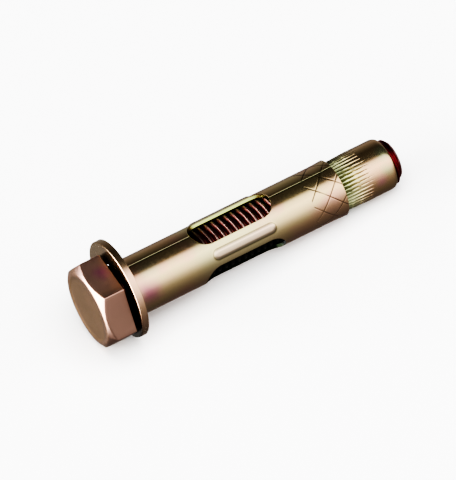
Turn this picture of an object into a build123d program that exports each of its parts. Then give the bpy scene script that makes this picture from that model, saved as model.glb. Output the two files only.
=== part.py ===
"""Sleeve anchor: a hex bolt, a plain washer, a slit expansion sleeve and a ribbed cone nut.

Millimetres. The anchor lies on its side, with its axis along +X from head to tip. It rests on
the washer's rim and the nut, turned until one corner of the hex head meets the floor. The
origin is on the axis, in the plane where the washer meets the sleeve, which is where the
fastened plate begins. Each piece is drawn with two flats of the hex head facing up and down,
and angles round the axis are measured from straight up (+Z) towards +Y. The last step turns
bolt, sleeve and nut into their resting place.
"""

import os
from math import ceil, cos, floor, radians, sin, tan

from build123d import *

# ---------------------------------------------------------------- driving dimensions

# Hex bolt with a metric thread, cut full where the windows show it and made at the thread's
# pitch diameter where washer, sleeve and nut hide it
BOLT_SIZE = 10.0
BOLT_PITCH = 1.5
THREAD_SLACK = 0.07
THREAD_REACH = 1.6
THREAD_SINK = 0.05
FUSE_TOLERANCE = 0.001
TIP_PROTRUSION = 1.9
TIP_CHAMFER = 0.7
HEAD_FLATS = 17.0
HEAD_HEIGHT = 6.4
HEAD_FACE_INSET = 1.2
HEAD_CHAMFER_ANGLE = 35.0
COLLAR_INSET = 1.5
COLLAR_HEIGHT = 0.6
NECK_FILLET = 0.4
HEAD_SLACK = 0.3
REST_TURN = 12.3

# Plain washer, lifted until its hole rests under the bolt's neck, as it does when the anchor lies
WASHER_DIAMETER = 21.0
WASHER_THICKNESS = 1.5
WASHER_PLAY = 1.6
WASHER_EDGE = 0.25
NECK_CLEARANCE = 0.03

# Expansion sleeve, rolled from sheet with a seam along it
SLEEVE_LENGTH = 49.2
SLEEVE_WALL = 0.75
SLEEVE_PLAY = 0.25
SEAM_WIDTH = 0.22
SEAM_ANGLE = 9.0

# Windows through the sleeve, and the ribs pressed out between them
WINDOW_COUNT = 3
WINDOW_ANGLE = 11.35
WINDOW_START = 16.1
WINDOW_LENGTH = 18.4
WINDOW_HALF_ANGLE = 35.0
RIB_SHIFT = 0.3
RIB_LENGTH = 14.8
RIB_WIDTH = 2.6
RIB_HEIGHT = 0.35
RIB_FLANK_ANGLE = 40.0
RIB_SKIN = 0.6
RIB_EDGE = 0.12

# Diamond grooves round the mouth of the sleeve: each plane of cut makes one groove of each hand
DIAMOND_LENGTH = 7.5
DIAMOND_CROSSING = 3.4
DIAMOND_COUNT = 8
DIAMOND_ANGLE = -44.15
DIAMOND_HELIX_ANGLE = 46.0
DIAMOND_WIDTH = 0.28
DIAMOND_DEPTH = 0.14

# Cone nut, whose small end sits inside the mouth of the sleeve
NUT_LENGTH = 16.8
NUT_ENGAGEMENT = 4.7
NUT_UNDERSIZE = 0.45
NUT_HALF_ANGLE = 2.5
NUT_LEAD = 0.125
NUT_END_ROUND = 0.5
NUT_END_ROUND_LENGTH = 1.3
NUT_COUNTERSINK = 0.45
GROOVE_COUNT = 40
GROOVE_DEPTH = 0.35
GROOVE_HALF_ANGLE = 45.0
GROOVE_FADE_LENGTH = 7.1

# Running clearances, measured on the radius
THREAD_CLEARANCE = 0.03
CONE_CLEARANCE = 0.05

# ---------------------------------------------------------------- sizes worked out from them

# A metric thread's basic triangle is this high; its flanks meet the pitch diameter halfway
THREAD_TRIANGLE = BOLT_PITCH * cos(radians(30))
SHANK_RADIUS = BOLT_SIZE / 2 - 3 / 8 * THREAD_TRIANGLE
CREST_RADIUS = BOLT_SIZE / 2 - THREAD_SLACK
ROOT_RADIUS = BOLT_SIZE / 2 - 17 / 24 * THREAD_TRIANGLE
BOLT_BEARING_X = -WASHER_THICKNESS - HEAD_SLACK
HEAD_END_X = BOLT_BEARING_X - HEAD_HEIGHT
HEAD_CORNER_RADIUS = HEAD_FLATS / 2 / cos(radians(30))
HEAD_FACE_RADIUS = (HEAD_FLATS - HEAD_FACE_INSET) / 2
COLLAR_RADIUS = (HEAD_FLATS - COLLAR_INSET) / 2

WASHER_HOLE_RADIUS = (BOLT_SIZE + WASHER_PLAY) / 2
WASHER_LIFT = WASHER_HOLE_RADIUS - SHANK_RADIUS - NECK_CLEARANCE

BORE_RADIUS = BOLT_SIZE / 2 + SLEEVE_PLAY
SLEEVE_RADIUS = BORE_RADIUS + SLEEVE_WALL

NUT_START_X = SLEEVE_LENGTH - NUT_ENGAGEMENT
NUT_END_X = NUT_START_X + NUT_LENGTH
NUT_SLOPE = tan(radians(NUT_HALF_ANGLE))
NUT_TIP_RADIUS = BORE_RADIUS - NUT_LEAD
NUT_RADIUS = SLEEVE_RADIUS - NUT_UNDERSIZE
NUT_SHOULDER_X = NUT_START_X + (NUT_RADIUS - NUT_TIP_RADIUS) / NUT_SLOPE
NUT_BORE_RADIUS = SHANK_RADIUS + THREAD_CLEARANCE
NUT_MOUTH_RADIUS = NUT_TIP_RADIUS + NUT_ENGAGEMENT * NUT_SLOPE
TIP_X = NUT_END_X + TIP_PROTRUSION

# The sleeve opens parallel to the cone, from where the cone would touch its straight bore
FLARE_START_X = NUT_START_X + (NUT_LEAD - CONE_CLEARANCE) / NUT_SLOPE
FLARE_RISE = (SLEEVE_LENGTH - FLARE_START_X) * NUT_SLOPE

# How far a cutter runs past the surface that it cuts
OVERRUN = 0.5

os.makedirs("parts", exist_ok=True)


def outward(angle):
    """Unit vector square to the axis at an angle from +Z towards +Y."""
    return Vector(0, sin(radians(angle)), cos(radians(angle)))


def facing_plane(angle, distance):
    """Plane square to the radius at an angle, at a distance from the axis, with its x along +X."""
    return Plane(origin=outward(angle) * distance, x_dir=(1, 0, 0), z_dir=outward(angle))


def flank_width(radius):
    """Half the width of the thread's ridge at a radius, between flanks at 30 degrees."""
    return BOLT_PITCH / 4 + (SHANK_RADIUS - radius) * tan(radians(30))


def round_axis(count):
    """Locations that repeat a piece evenly round the axis."""
    return [Location((0, 0, 0), (360 * step / count, 0, 0)) for step in range(count)]


def turned(*points):
    """Revolve a closed outline, given as (distance along the axis, radius), about the axis."""
    with BuildPart() as blank:
        with BuildSketch(Plane.XZ):
            with BuildLine():
                Polyline(*points, close=True)
            make_face()
        revolve(axis=Axis.X)
    return blank.part


def sleeve_wall(inner_radius, outer_radius):
    """The sleeve's rolled wall, flared at the mouth, between two radii of its straight length."""
    return turned(
        (0, inner_radius),
        (FLARE_START_X, inner_radius),
        (SLEEVE_LENGTH, inner_radius + FLARE_RISE),
        (SLEEVE_LENGTH, outer_radius + FLARE_RISE),
        (FLARE_START_X, outer_radius),
        (0, outer_radius),
    )


# ---------------------------------------------------------------- hex bolt

head_blank = turned(
    (HEAD_END_X, 0),
    (HEAD_END_X, HEAD_FACE_RADIUS),
    (
        HEAD_END_X + (HEAD_CORNER_RADIUS + OVERRUN - HEAD_FACE_RADIUS) * tan(radians(HEAD_CHAMFER_ANGLE)),
        HEAD_CORNER_RADIUS + OVERRUN,
    ),
    (BOLT_BEARING_X, HEAD_CORNER_RADIUS + OVERRUN),
    (BOLT_BEARING_X, 0),
)

# The full thread runs a little past both ends of the windows. Its crest stands straight up at
# each end, and its core is a pitch longer at each end than its ridge.
thread_start_x = BOLT_PITCH * floor((WINDOW_START - THREAD_REACH) / BOLT_PITCH)
thread_end_x = BOLT_PITCH * ceil((WINDOW_START + WINDOW_LENGTH + THREAD_REACH) / BOLT_PITCH)
ridge_foot = ROOT_RADIUS - THREAD_SINK

with BuildPart() as thread_ridge:
    with BuildLine() as ridge_path:
        Helix(
            pitch=BOLT_PITCH,
            height=thread_end_x - thread_start_x,
            radius=SHANK_RADIUS,
            center=(thread_start_x, 0, 0),
            direction=(1, 0, 0),
        )
    with BuildSketch(Plane(origin=(thread_start_x, 0, 0), x_dir=(1, 0, 0), z_dir=(0, -1, 0))):
        with BuildLine():
            Polyline(
                (-flank_width(ridge_foot), ridge_foot),
                (-flank_width(CREST_RADIUS), CREST_RADIUS),
                (flank_width(CREST_RADIUS), CREST_RADIUS),
                (flank_width(ridge_foot), ridge_foot),
                close=True,
            )
        make_face()
    sweep(is_frenet=True)

core_start_x = thread_start_x - BOLT_PITCH
core_length = thread_end_x - thread_start_x + 2 * BOLT_PITCH

with BuildPart() as thread_core:
    with BuildSketch(Plane.YZ.offset(core_start_x)):
        Circle(ROOT_RADIUS)
    extrude(amount=core_length)
threaded_core = thread_core.part.fuse(thread_ridge.part, tol=FUSE_TOLERANCE)

with BuildPart() as hex_bolt:
    with BuildSketch(Plane.YZ.offset(HEAD_END_X)):
        RegularPolygon(HEAD_FLATS / 2, 6, major_radius=False)
    extrude(amount=HEAD_HEIGHT - COLLAR_HEIGHT)
    add(head_blank, mode=Mode.INTERSECT)
    with BuildSketch(Plane.YZ.offset(BOLT_BEARING_X - COLLAR_HEIGHT)):
        Circle(COLLAR_RADIUS)
    extrude(amount=COLLAR_HEIGHT)
    with BuildSketch(Plane.YZ.offset(BOLT_BEARING_X)):
        Circle(SHANK_RADIUS)
    extrude(amount=TIP_X - BOLT_BEARING_X)
    circles = hex_bolt.edges().filter_by(GeomType.CIRCLE)
    tip_edge = circles.sort_by(Axis.X)[-1]
    neck_edge = circles.filter_by_position(Axis.X, BOLT_BEARING_X, BOLT_BEARING_X).sort_by(SortBy.RADIUS)[0]
    chamfer(tip_edge, length=TIP_CHAMFER)
    fillet(neck_edge, radius=NECK_FILLET)
    with BuildSketch(Plane.YZ.offset(core_start_x)):
        Circle(SHANK_RADIUS + OVERRUN)
    extrude(amount=core_length, mode=Mode.SUBTRACT)
    add(threaded_core)
hex_bolt.part.label = "hex_bolt"

# ---------------------------------------------------------------- washer

with BuildPart() as washer:
    with BuildSketch(Plane.YZ.offset(-WASHER_THICKNESS)):
        with Locations((0, WASHER_LIFT)):
            Circle(WASHER_DIAMETER / 2)
            Circle(WASHER_HOLE_RADIUS, mode=Mode.SUBTRACT)
    extrude(amount=WASHER_THICKNESS)
    front_edges = washer.faces().sort_by(Axis.X)[0].edges()
    fillet(front_edges, radius=WASHER_EDGE)
washer.part.label = "washer"

# ---------------------------------------------------------------- cutters for the sleeve

window_centre_x = WINDOW_START + WINDOW_LENGTH / 2
window_end_reach = (BORE_RADIUS + SLEEVE_WALL / 2) * radians(WINDOW_HALF_ANGLE)
window_floor = BORE_RADIUS * cos(radians(WINDOW_HALF_ANGLE)) - OVERRUN
window_roof = SLEEVE_RADIUS + RIB_HEIGHT + OVERRUN

with BuildPart() as window_cutter:
    for distance in (window_floor, window_roof):
        half_width = distance * tan(radians(WINDOW_HALF_ANGLE))
        with BuildSketch(facing_plane(WINDOW_ANGLE, distance)):
            with Locations((window_centre_x, 0)):
                Rectangle(WINDOW_LENGTH - 2 * window_end_reach, 2 * half_width)
            for end_x in (WINDOW_START + window_end_reach, WINDOW_START + WINDOW_LENGTH - window_end_reach):
                with Locations((end_x, 0)):
                    Ellipse(window_end_reach, half_width)
    loft(ruled=True)

rib_angle = WINDOW_ANGLE + 180 / WINDOW_COUNT
rib_centre_x = window_centre_x + RIB_SHIFT
rib_crest_radius = SLEEVE_RADIUS + RIB_HEIGHT
rib_base = SLEEVE_RADIUS - SLEEVE_WALL / 2
rib_spread = (SLEEVE_RADIUS - rib_base) * tan(radians(RIB_FLANK_ANGLE))
rib_hollow_radius = rib_crest_radius - RIB_SKIN

with BuildPart() as rib_pad:
    with BuildSketch(facing_plane(rib_angle, rib_base)):
        with Locations((rib_centre_x, 0)):
            SlotOverall(RIB_LENGTH + 2 * rib_spread, RIB_WIDTH + 2 * rib_spread)
    extrude(amount=rib_crest_radius - rib_base + OVERRUN, taper=RIB_FLANK_ANGLE)
    add(
        turned((0, 0), (0, rib_crest_radius), (SLEEVE_LENGTH, rib_crest_radius), (SLEEVE_LENGTH, 0)),
        mode=Mode.INTERSECT,
    )
    fillet(rib_pad.faces().sort_by_distance((0, 0, 0))[-1].edges(), radius=RIB_EDGE)

with BuildPart() as rib_hollow:
    with BuildSketch(facing_plane(rib_angle, BORE_RADIUS / 2)):
        with Locations((rib_centre_x, 0)):
            SlotOverall(RIB_LENGTH - RIB_SKIN, RIB_WIDTH - RIB_SKIN)
    extrude(amount=BORE_RADIUS)
    add(
        turned((0, 0), (0, rib_hollow_radius), (SLEEVE_LENGTH, rib_hollow_radius), (SLEEVE_LENGTH, 0)),
        mode=Mode.INTERSECT,
    )

diamond_start_x = SLEEVE_LENGTH - DIAMOND_LENGTH
diamond_reach = 2 * (SLEEVE_RADIUS + FLARE_RISE + OVERRUN)
diamond_crossing_x = SLEEVE_LENGTH - DIAMOND_CROSSING
groove_core = sleeve_wall(0, SLEEVE_RADIUS - DIAMOND_DEPTH)

with BuildPart() as diamond_cutter:
    for step in range(DIAMOND_COUNT):
        radial = outward(DIAMOND_ANGLE + 360 * step / DIAMOND_COUNT)
        sideways = Vector(1, 0, 0).cross(radial)
        across = Vector(1, 0, 0) * sin(radians(DIAMOND_HELIX_ANGLE)) - sideways * cos(
            radians(DIAMOND_HELIX_ANGLE)
        )
        cut_plane = Plane(origin=(diamond_crossing_x, 0, 0), x_dir=radial, z_dir=across)
        with BuildSketch(cut_plane):
            Rectangle(diamond_reach, 2 * diamond_reach)
        extrude(amount=DIAMOND_WIDTH / 2, both=True)
    add(
        turned(
            (diamond_start_x, 0),
            (diamond_start_x, diamond_reach),
            (SLEEVE_LENGTH + OVERRUN, diamond_reach),
            (SLEEVE_LENGTH + OVERRUN, 0),
        ),
        mode=Mode.INTERSECT,
    )
    add(groove_core, mode=Mode.SUBTRACT)

# ---------------------------------------------------------------- expansion sleeve

with BuildPart() as expansion_sleeve:
    add(sleeve_wall(BORE_RADIUS, SLEEVE_RADIUS))
    with Locations(*round_axis(WINDOW_COUNT)):
        add(rib_pad.part)
    with Locations(*round_axis(WINDOW_COUNT)):
        add(rib_hollow.part, mode=Mode.SUBTRACT)
    with Locations(*round_axis(WINDOW_COUNT)):
        add(window_cutter.part, mode=Mode.SUBTRACT)
    with BuildSketch(facing_plane(SEAM_ANGLE, BORE_RADIUS / 2)):
        with Locations((SLEEVE_LENGTH / 2, 0)):
            Rectangle(SLEEVE_LENGTH + 2 * OVERRUN, SEAM_WIDTH)
    extrude(amount=SLEEVE_RADIUS, mode=Mode.SUBTRACT)
    add(diamond_cutter.part, mode=Mode.SUBTRACT)
expansion_sleeve.part.label = "expansion_sleeve"

# ---------------------------------------------------------------- cone nut

groove_wing = GROOVE_DEPTH + OVERRUN
groove_stations = (
    (NUT_START_X - OVERRUN, NUT_TIP_RADIUS - OVERRUN * NUT_SLOPE - GROOVE_DEPTH),
    (SLEEVE_LENGTH, NUT_MOUTH_RADIUS - GROOVE_DEPTH),
    (SLEEVE_LENGTH + GROOVE_FADE_LENGTH, NUT_RADIUS),
)

with BuildPart() as groove_cutter:
    for station_x, floor_radius in groove_stations:
        with BuildSketch(Plane.YZ.offset(station_x)):
            with BuildLine():
                Polyline(
                    (0, floor_radius),
                    (groove_wing * tan(radians(GROOVE_HALF_ANGLE)), floor_radius + groove_wing),
                    (-groove_wing * tan(radians(GROOVE_HALF_ANGLE)), floor_radius + groove_wing),
                    close=True,
                )
            make_face()
    loft(ruled=True)

with BuildPart() as cone_nut:
    with BuildSketch(Plane.XZ):
        with BuildLine():
            face_corner = (NUT_END_X, NUT_RADIUS - NUT_END_ROUND)
            Polyline(
                face_corner,
                (NUT_END_X, NUT_BORE_RADIUS),
                (NUT_START_X, NUT_BORE_RADIUS),
                (NUT_START_X, NUT_TIP_RADIUS),
                (NUT_SHOULDER_X, NUT_RADIUS),
                (NUT_END_X - NUT_END_ROUND_LENGTH, NUT_RADIUS),
            )
            EllipticalCenterArc(
                (NUT_END_X - NUT_END_ROUND_LENGTH, NUT_RADIUS - NUT_END_ROUND),
                NUT_END_ROUND_LENGTH,
                NUT_END_ROUND,
                start_angle=0,
                arc_size=90,
            )
        make_face()
    revolve(axis=Axis.X)
    bore_mouth = cone_nut.faces().sort_by(Axis.X)[-1].edges().sort_by(SortBy.LENGTH)[0]
    chamfer(bore_mouth, length=NUT_COUNTERSINK)
    with Locations(*round_axis(GROOVE_COUNT)):
        add(groove_cutter.part, mode=Mode.SUBTRACT)
cone_nut.part.label = "cone_nut"

# ---------------------------------------------------------------- one file for each piece

export_step(washer.part, f"parts/{washer.part.label}.step")
for piece in (hex_bolt, expansion_sleeve, cone_nut):
    resting = piece.part.rotate(Axis.X, REST_TURN)
    resting.label = piece.part.label
    export_step(resting, f"parts/{resting.label}.step")
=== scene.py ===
"""Sleeve anchor in yellow zinc plating: bolt, washer, slit sleeve and ribbed cone nut.

Every length is in metres and every piece lies in the frame's own place: the axis runs along +X
from head to tip. Angles round the axis are measured from the flat on top of the head, which lies
REST_TURN from +Z towards -Y. So a point at distance x along the axis, radius r and angle b stands
at (x, r sin(b - REST_TURN), r cos(b - REST_TURN)).
"""

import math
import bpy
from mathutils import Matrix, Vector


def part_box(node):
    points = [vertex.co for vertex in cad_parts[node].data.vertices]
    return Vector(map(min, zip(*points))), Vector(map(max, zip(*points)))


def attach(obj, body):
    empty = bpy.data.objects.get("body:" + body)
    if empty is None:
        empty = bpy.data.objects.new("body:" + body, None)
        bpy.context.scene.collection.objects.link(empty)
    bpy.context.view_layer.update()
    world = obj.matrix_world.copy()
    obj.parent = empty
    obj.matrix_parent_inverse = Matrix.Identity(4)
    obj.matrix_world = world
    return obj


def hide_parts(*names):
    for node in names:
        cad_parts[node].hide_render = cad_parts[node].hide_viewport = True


bl_info = {
    "name": "Sleeve anchor",
    "version": (1, 0, 0),
    "blender": (4, 5, 0),
    "location": "View3D > Sidebar > Anchor",
    "description": "Builds a plated sleeve anchor round its measured frame, with its stage",
    "category": "Add Mesh",
}

import bpy
import numpy as np
from bpy.props import FloatProperty, FloatVectorProperty, IntProperty, PointerProperty
from mathutils import Matrix, Vector

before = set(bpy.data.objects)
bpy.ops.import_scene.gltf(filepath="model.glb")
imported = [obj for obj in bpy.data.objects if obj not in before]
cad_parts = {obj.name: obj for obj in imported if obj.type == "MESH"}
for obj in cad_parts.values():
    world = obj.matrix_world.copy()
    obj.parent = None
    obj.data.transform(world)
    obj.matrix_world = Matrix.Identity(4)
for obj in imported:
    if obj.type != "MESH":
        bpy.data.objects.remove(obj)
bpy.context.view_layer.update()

MM = 0.001
TURN = 2 * math.pi
REST_TURN = math.radians(12.3)

BOLT_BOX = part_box("hex_bolt")
WASHER_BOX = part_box("washer")
SLEEVE_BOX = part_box("expansion_sleeve")
NUT_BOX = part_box("cone_nut")
NUT_RADIUS = (NUT_BOX[1][1] - NUT_BOX[0][1]) / 2


# ---------------------------------------------------------------- settings


def length(name, description, default):
    """A length property in metres."""
    return FloatProperty(
        name=name, description=description, default=default, subtype="DISTANCE", precision=5
    )


def angle(name, description, degrees):
    """An angle property, given in degrees."""
    radians = math.radians(degrees)
    return FloatProperty(name=name, description=description, default=radians, subtype="ANGLE")


def colour(name, description, default):
    """A linear colour property."""
    return FloatVectorProperty(
        name=name, description=description, default=default, size=3, min=0, max=1, subtype="COLOR"
    )


def plain(name, description, default):
    """A number property without a unit."""
    return FloatProperty(name=name, description=description, default=default)


class BoltSettings(bpy.types.PropertyGroup):
    """Sizes of the hex bolt."""

    head_end: length("Head end", "Place of the head's end face", BOLT_BOX[0][0])
    tip_end: length("Tip end", "Place of the tip's end face", BOLT_BOX[1][0])
    flats: length("Across flats", "Width of the head across its flats", 17 * MM)
    head_height: length("Head height", "From the end face to the bearing face", 6.4 * MM)
    collar_height: length("Collar height", "Height of the turned face under the head", 0.6 * MM)
    collar_inset: length("Collar inset", "Across flats less the collar's diameter", 1.5 * MM)
    face_inset: length("Face inset", "Across flats less the end face's diameter", 1.2 * MM)
    chamfer: angle("Head chamfer", "Slope of the head's chamfer from its end face", 35)
    corner_round: length("Corner round", "Radius of the head's six corners", 0.3 * MM)
    edge_round: length("Edge round", "Reach of the rounding at the head's edges", 0.22 * MM)
    dish: length("Dish", "Depth of the shallow dish in the end face", 0.09 * MM)
    pitch: length("Pitch", "Thread pitch", 1.5 * MM)
    crest: length("Crest radius", "Outer radius of the thread", 4.94 * MM)
    root: length("Root radius", "Inner radius of the thread", 4.08 * MM)
    middle: length("Pitch radius", "Radius where thread and gap are equally wide", 4.513 * MM)
    tip_radius: length("Tip radius", "Radius of the flat at the tip", 3.85 * MM)


class WasherSettings(bpy.types.PropertyGroup):
    """Sizes of the washer."""

    hole: length("Hole radius", "Radius of the washer's hole", 5.8 * MM)
    edge_round: length("Edge round", "Radius of the rolled front edge", 0.3 * MM)
    back_round: length("Back round", "Radius of the back edge", 0.1 * MM)


class SleeveSettings(bpy.types.PropertyGroup):
    """Sizes of the expansion sleeve."""

    radius: length("Radius", "Outer radius of the straight sleeve", 6.0 * MM)
    wall: length("Wall", "Thickness of the sheet", 0.75 * MM)
    flare_start: length("Flare start", "Where the mouth starts to open", 46.2179 * MM)
    flare: angle("Flare", "Half angle of the opening mouth", 2.5)
    seam: angle("Seam", "Where the seam lies round the axis", 9)
    seam_width: length("Seam width", "Gap between the sheet's two edges", 0.22 * MM)
    window: angle("Window", "Middle of the first window round the axis", 11.35)
    window_half: angle("Window half width", "Half the window's width round the axis", 35)
    window_start: length("Window start", "Where the windows start", 16.1 * MM)
    window_length: length("Window length", "Length of the windows", 18.4 * MM)
    rib_centre: length("Rib centre", "Middle of the pressed ribs", 25.6 * MM)
    rib_length: length("Rib length", "Length of the pressed ribs", 14.8 * MM)
    rib_width: length("Rib width", "Width of the pressed ribs", 2.6 * MM)
    rib_height: length("Rib height", "How far the ribs stand out", 0.30 * MM)
    rib_flank: length("Rib flank", "Width of the ribs' soft flanks", 0.9 * MM)
    edge: length("Edge", "Width of the broken edge of the sheet", 0.06 * MM)
    diamond_length: length("Diamond length", "Length of the grooved band at the mouth", 7.5 * MM)
    diamond_crossing: length("Diamond crossing", "From the mouth to the crossings", 3.4 * MM)
    diamond: angle("Diamond", "Where one crossing lies round the axis", -44.15)
    diamond_twist: plain("Diamond twist", "Degrees that a groove turns in each millimetre", 9.9)
    diamond_count: IntProperty(name="Diamond count", description="Grooves of each hand", default=8)
    groove_width: length("Groove width", "Width of a diamond groove", 0.3 * MM)
    groove_depth: length("Groove depth", "Depth of a diamond groove", 0.05 * MM)


class NutSettings(bpy.types.PropertyGroup):
    """Sizes of the cone nut."""

    tip_radius: length("Small end radius", "Radius of the cone's small end", 5.125 * MM)
    half_angle: angle("Half angle", "Half angle of the cone", 2.5)
    rib_count: IntProperty(name="Ribs", description="Ribs round the cone", default=40)
    groove_depth: length("Groove depth", "Depth of the gaps between ribs", 0.35 * MM)
    fade_start: length("Fade start", "Where the gaps start to run out", 49.2 * MM)
    fade_end: length("Fade end", "Where the gaps have run out", 56.3 * MM)
    end_round: length("End round", "How far the end's rounding comes in", 0.5 * MM)
    end_round_length: length("End round length", "How far the end's rounding runs along", 1.3 * MM)
    clearance: length("Thread clearance", "Gap between the nut's thread and the bolt's", 0.05 * MM)
    countersink: length("Countersink", "Size of the countersink at the outer end", 0.45 * MM)


class FinishSettings(bpy.types.PropertyGroup):
    """Colours of the plating's film, in general and in the places that differ, and the colours of
    the painted light and shade.
    """

    gold: colour("Gold", "Plating where the film is even", (0.66, 0.43, 0.25))
    green: colour("Green", "Plating where the film looks green", (0.60, 0.50, 0.26))
    olive: colour("Olive", "Plating on the washer", (0.52, 0.40, 0.22))
    pink: colour("Pink", "Plating where the film looks pink", (0.67, 0.38, 0.28))
    copper: colour("Copper", "Plating on the bolt's head", (0.42, 0.27, 0.165))
    purple: colour("Purple", "Patches where the film is thickest", (0.30, 0.06, 0.12))
    # Painted shade, near black: under the head, low on the thread, on the washer under the head, on
    # the sleeve's lower cut edges, between the nut's ribs and on its far side
    painted_shade: colour("Painted shade", "Painted shade in gaps, under the head and on the far side", (0.035, 0.03, 0.02))
    # Painted shade in brown on the far side of sleeve and nut; far red streaks lie in it
    far_shade_brown: colour("Far side shade", "Painted shade on the far side of sleeve and nut", (0.34, 0.19, 0.11))
    far_red: colour("Far red", "Streaks in the brown of the far side", (0.26, 0.07, 0.06))
    head_side: colour("Head side", "Flats on the near side of the head", (0.39, 0.23, 0.18))
    head_face: colour("Head face", "End face of the head", (0.28, 0.17, 0.09))
    head_top: colour("Head top", "Top flat of the head", (0.78, 0.47, 0.38))
    head_rim: colour("Head rim", "Specks round the end face", (0.44, 0.26, 0.19))
    magenta: colour("Magenta", "Patches on the head's top flat and the nut", (0.80, 0.26, 0.42))
    # Painted shadow: the gap between head and washer, painted nearly black on the collar
    collar: colour("Collar", "Painted shadow, nearly black, on the bolt's collar", (0.012, 0.009, 0.006))
    thread: colour("Thread", "Dark red plating in the thread", (0.24, 0.075, 0.065))
    # Painted highlight: the thread's crests are lighter than its roots
    crest: colour("Crest", "Painted highlight on the thread's crests", (0.27, 0.18, 0.155))
    tip: colour("Tip", "Dark red plating on the bolt's tip", (0.20, 0.028, 0.03))
    tip_rim: colour("Tip rim", "Pale plating at the tip's end", (0.62, 0.36, 0.34))
    # Painted shade in brown on the washer's far side
    washer_far_shade: colour("Washer far shade", "Painted shade on the washer's far side", (0.34, 0.20, 0.12))
    stain: colour("Stain", "Stain on the sleeve near the washer", (0.46, 0.13, 0.24))
    groove: colour("Groove", "Film in the crossed grooves", (0.06, 0.035, 0.02))
    fresh: colour("Fresh green", "Green film over the windows", (0.53, 0.51, 0.28))
    # Painted shadow along the seam's edges
    seam: colour("Seam", "Painted shadow along the seam's edges", (0.17, 0.19, 0.12))
    # Painted highlight on the pressed ribs
    rib: colour("Rib", "Painted highlight on the pressed ribs", (0.68, 0.50, 0.43))
    # Painted shade round the foot of the ribs
    rib_foot_shade: colour("Rib foot shade", "Painted shade round the foot of the ribs", (0.20, 0.14, 0.08))
    cut: colour("Cut edge", "Plating on the cut edges of sheet", (0.50, 0.56, 0.20))
    # Painted shade, nearly black, on the windows' lower edges
    lip_shade: colour("Lip shade", "Lower edge of the windows", (0.008, 0.011, 0.006))
    ribbed: colour("Ribbed green", "Pale green over the nut's ribs", (0.54, 0.62, 0.32))
    end_green: colour("End green", "Green spot at the nut's end", (0.46, 0.56, 0.33))
    low_green: colour("Low green", "Green spot low on the nut", (0.42, 0.50, 0.26))


class StageSettings(bpy.types.PropertyGroup):
    """Floor, light and camera."""

    floor: colour("Floor", "Colour of the floor", (0.92, 0.92, 0.92))
    azimuth: angle("Azimuth", "Camera's azimuth", -31.3)
    elevation: angle("Elevation", "Camera's elevation", 54.2)
    lens: FloatProperty(
        name="Lens", description="Focal length", default=400, subtype="DISTANCE_CAMERA"
    )
    overhead: plain("Overhead", "Strength of the large overhead lamp that lights the floor", 6.0)
    studio: plain("Studio", "Brightness of the studio round the anchor", 1.6)
    head_lamp: plain("Head lamp", "Brightness of the lamp that the head's chamfer reflects", 9.0)


SETTINGS = {
    "anchor_bolt": BoltSettings,
    "anchor_washer": WasherSettings,
    "anchor_sleeve": SleeveSettings,
    "anchor_nut": NutSettings,
    "anchor_finish": FinishSettings,
    "anchor_stage": StageSettings,
}


# ---------------------------------------------------------------- shader maths


class Wire:
    """A node's output that does arithmetic: each operator adds a Math node."""

    def __init__(self, graph, socket):
        self.graph = graph
        self.socket = socket

    def __add__(self, other):
        return self.graph.maths("ADD", self, other)

    def __sub__(self, other):
        return self.graph.maths("SUBTRACT", self, other)

    def __rsub__(self, other):
        return self.graph.maths("SUBTRACT", other, self)

    def __mul__(self, other):
        return self.graph.maths("MULTIPLY", self, other)

    def __truediv__(self, other):
        return self.graph.maths("DIVIDE", self, other)

    __radd__ = __add__
    __rmul__ = __mul__


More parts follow.
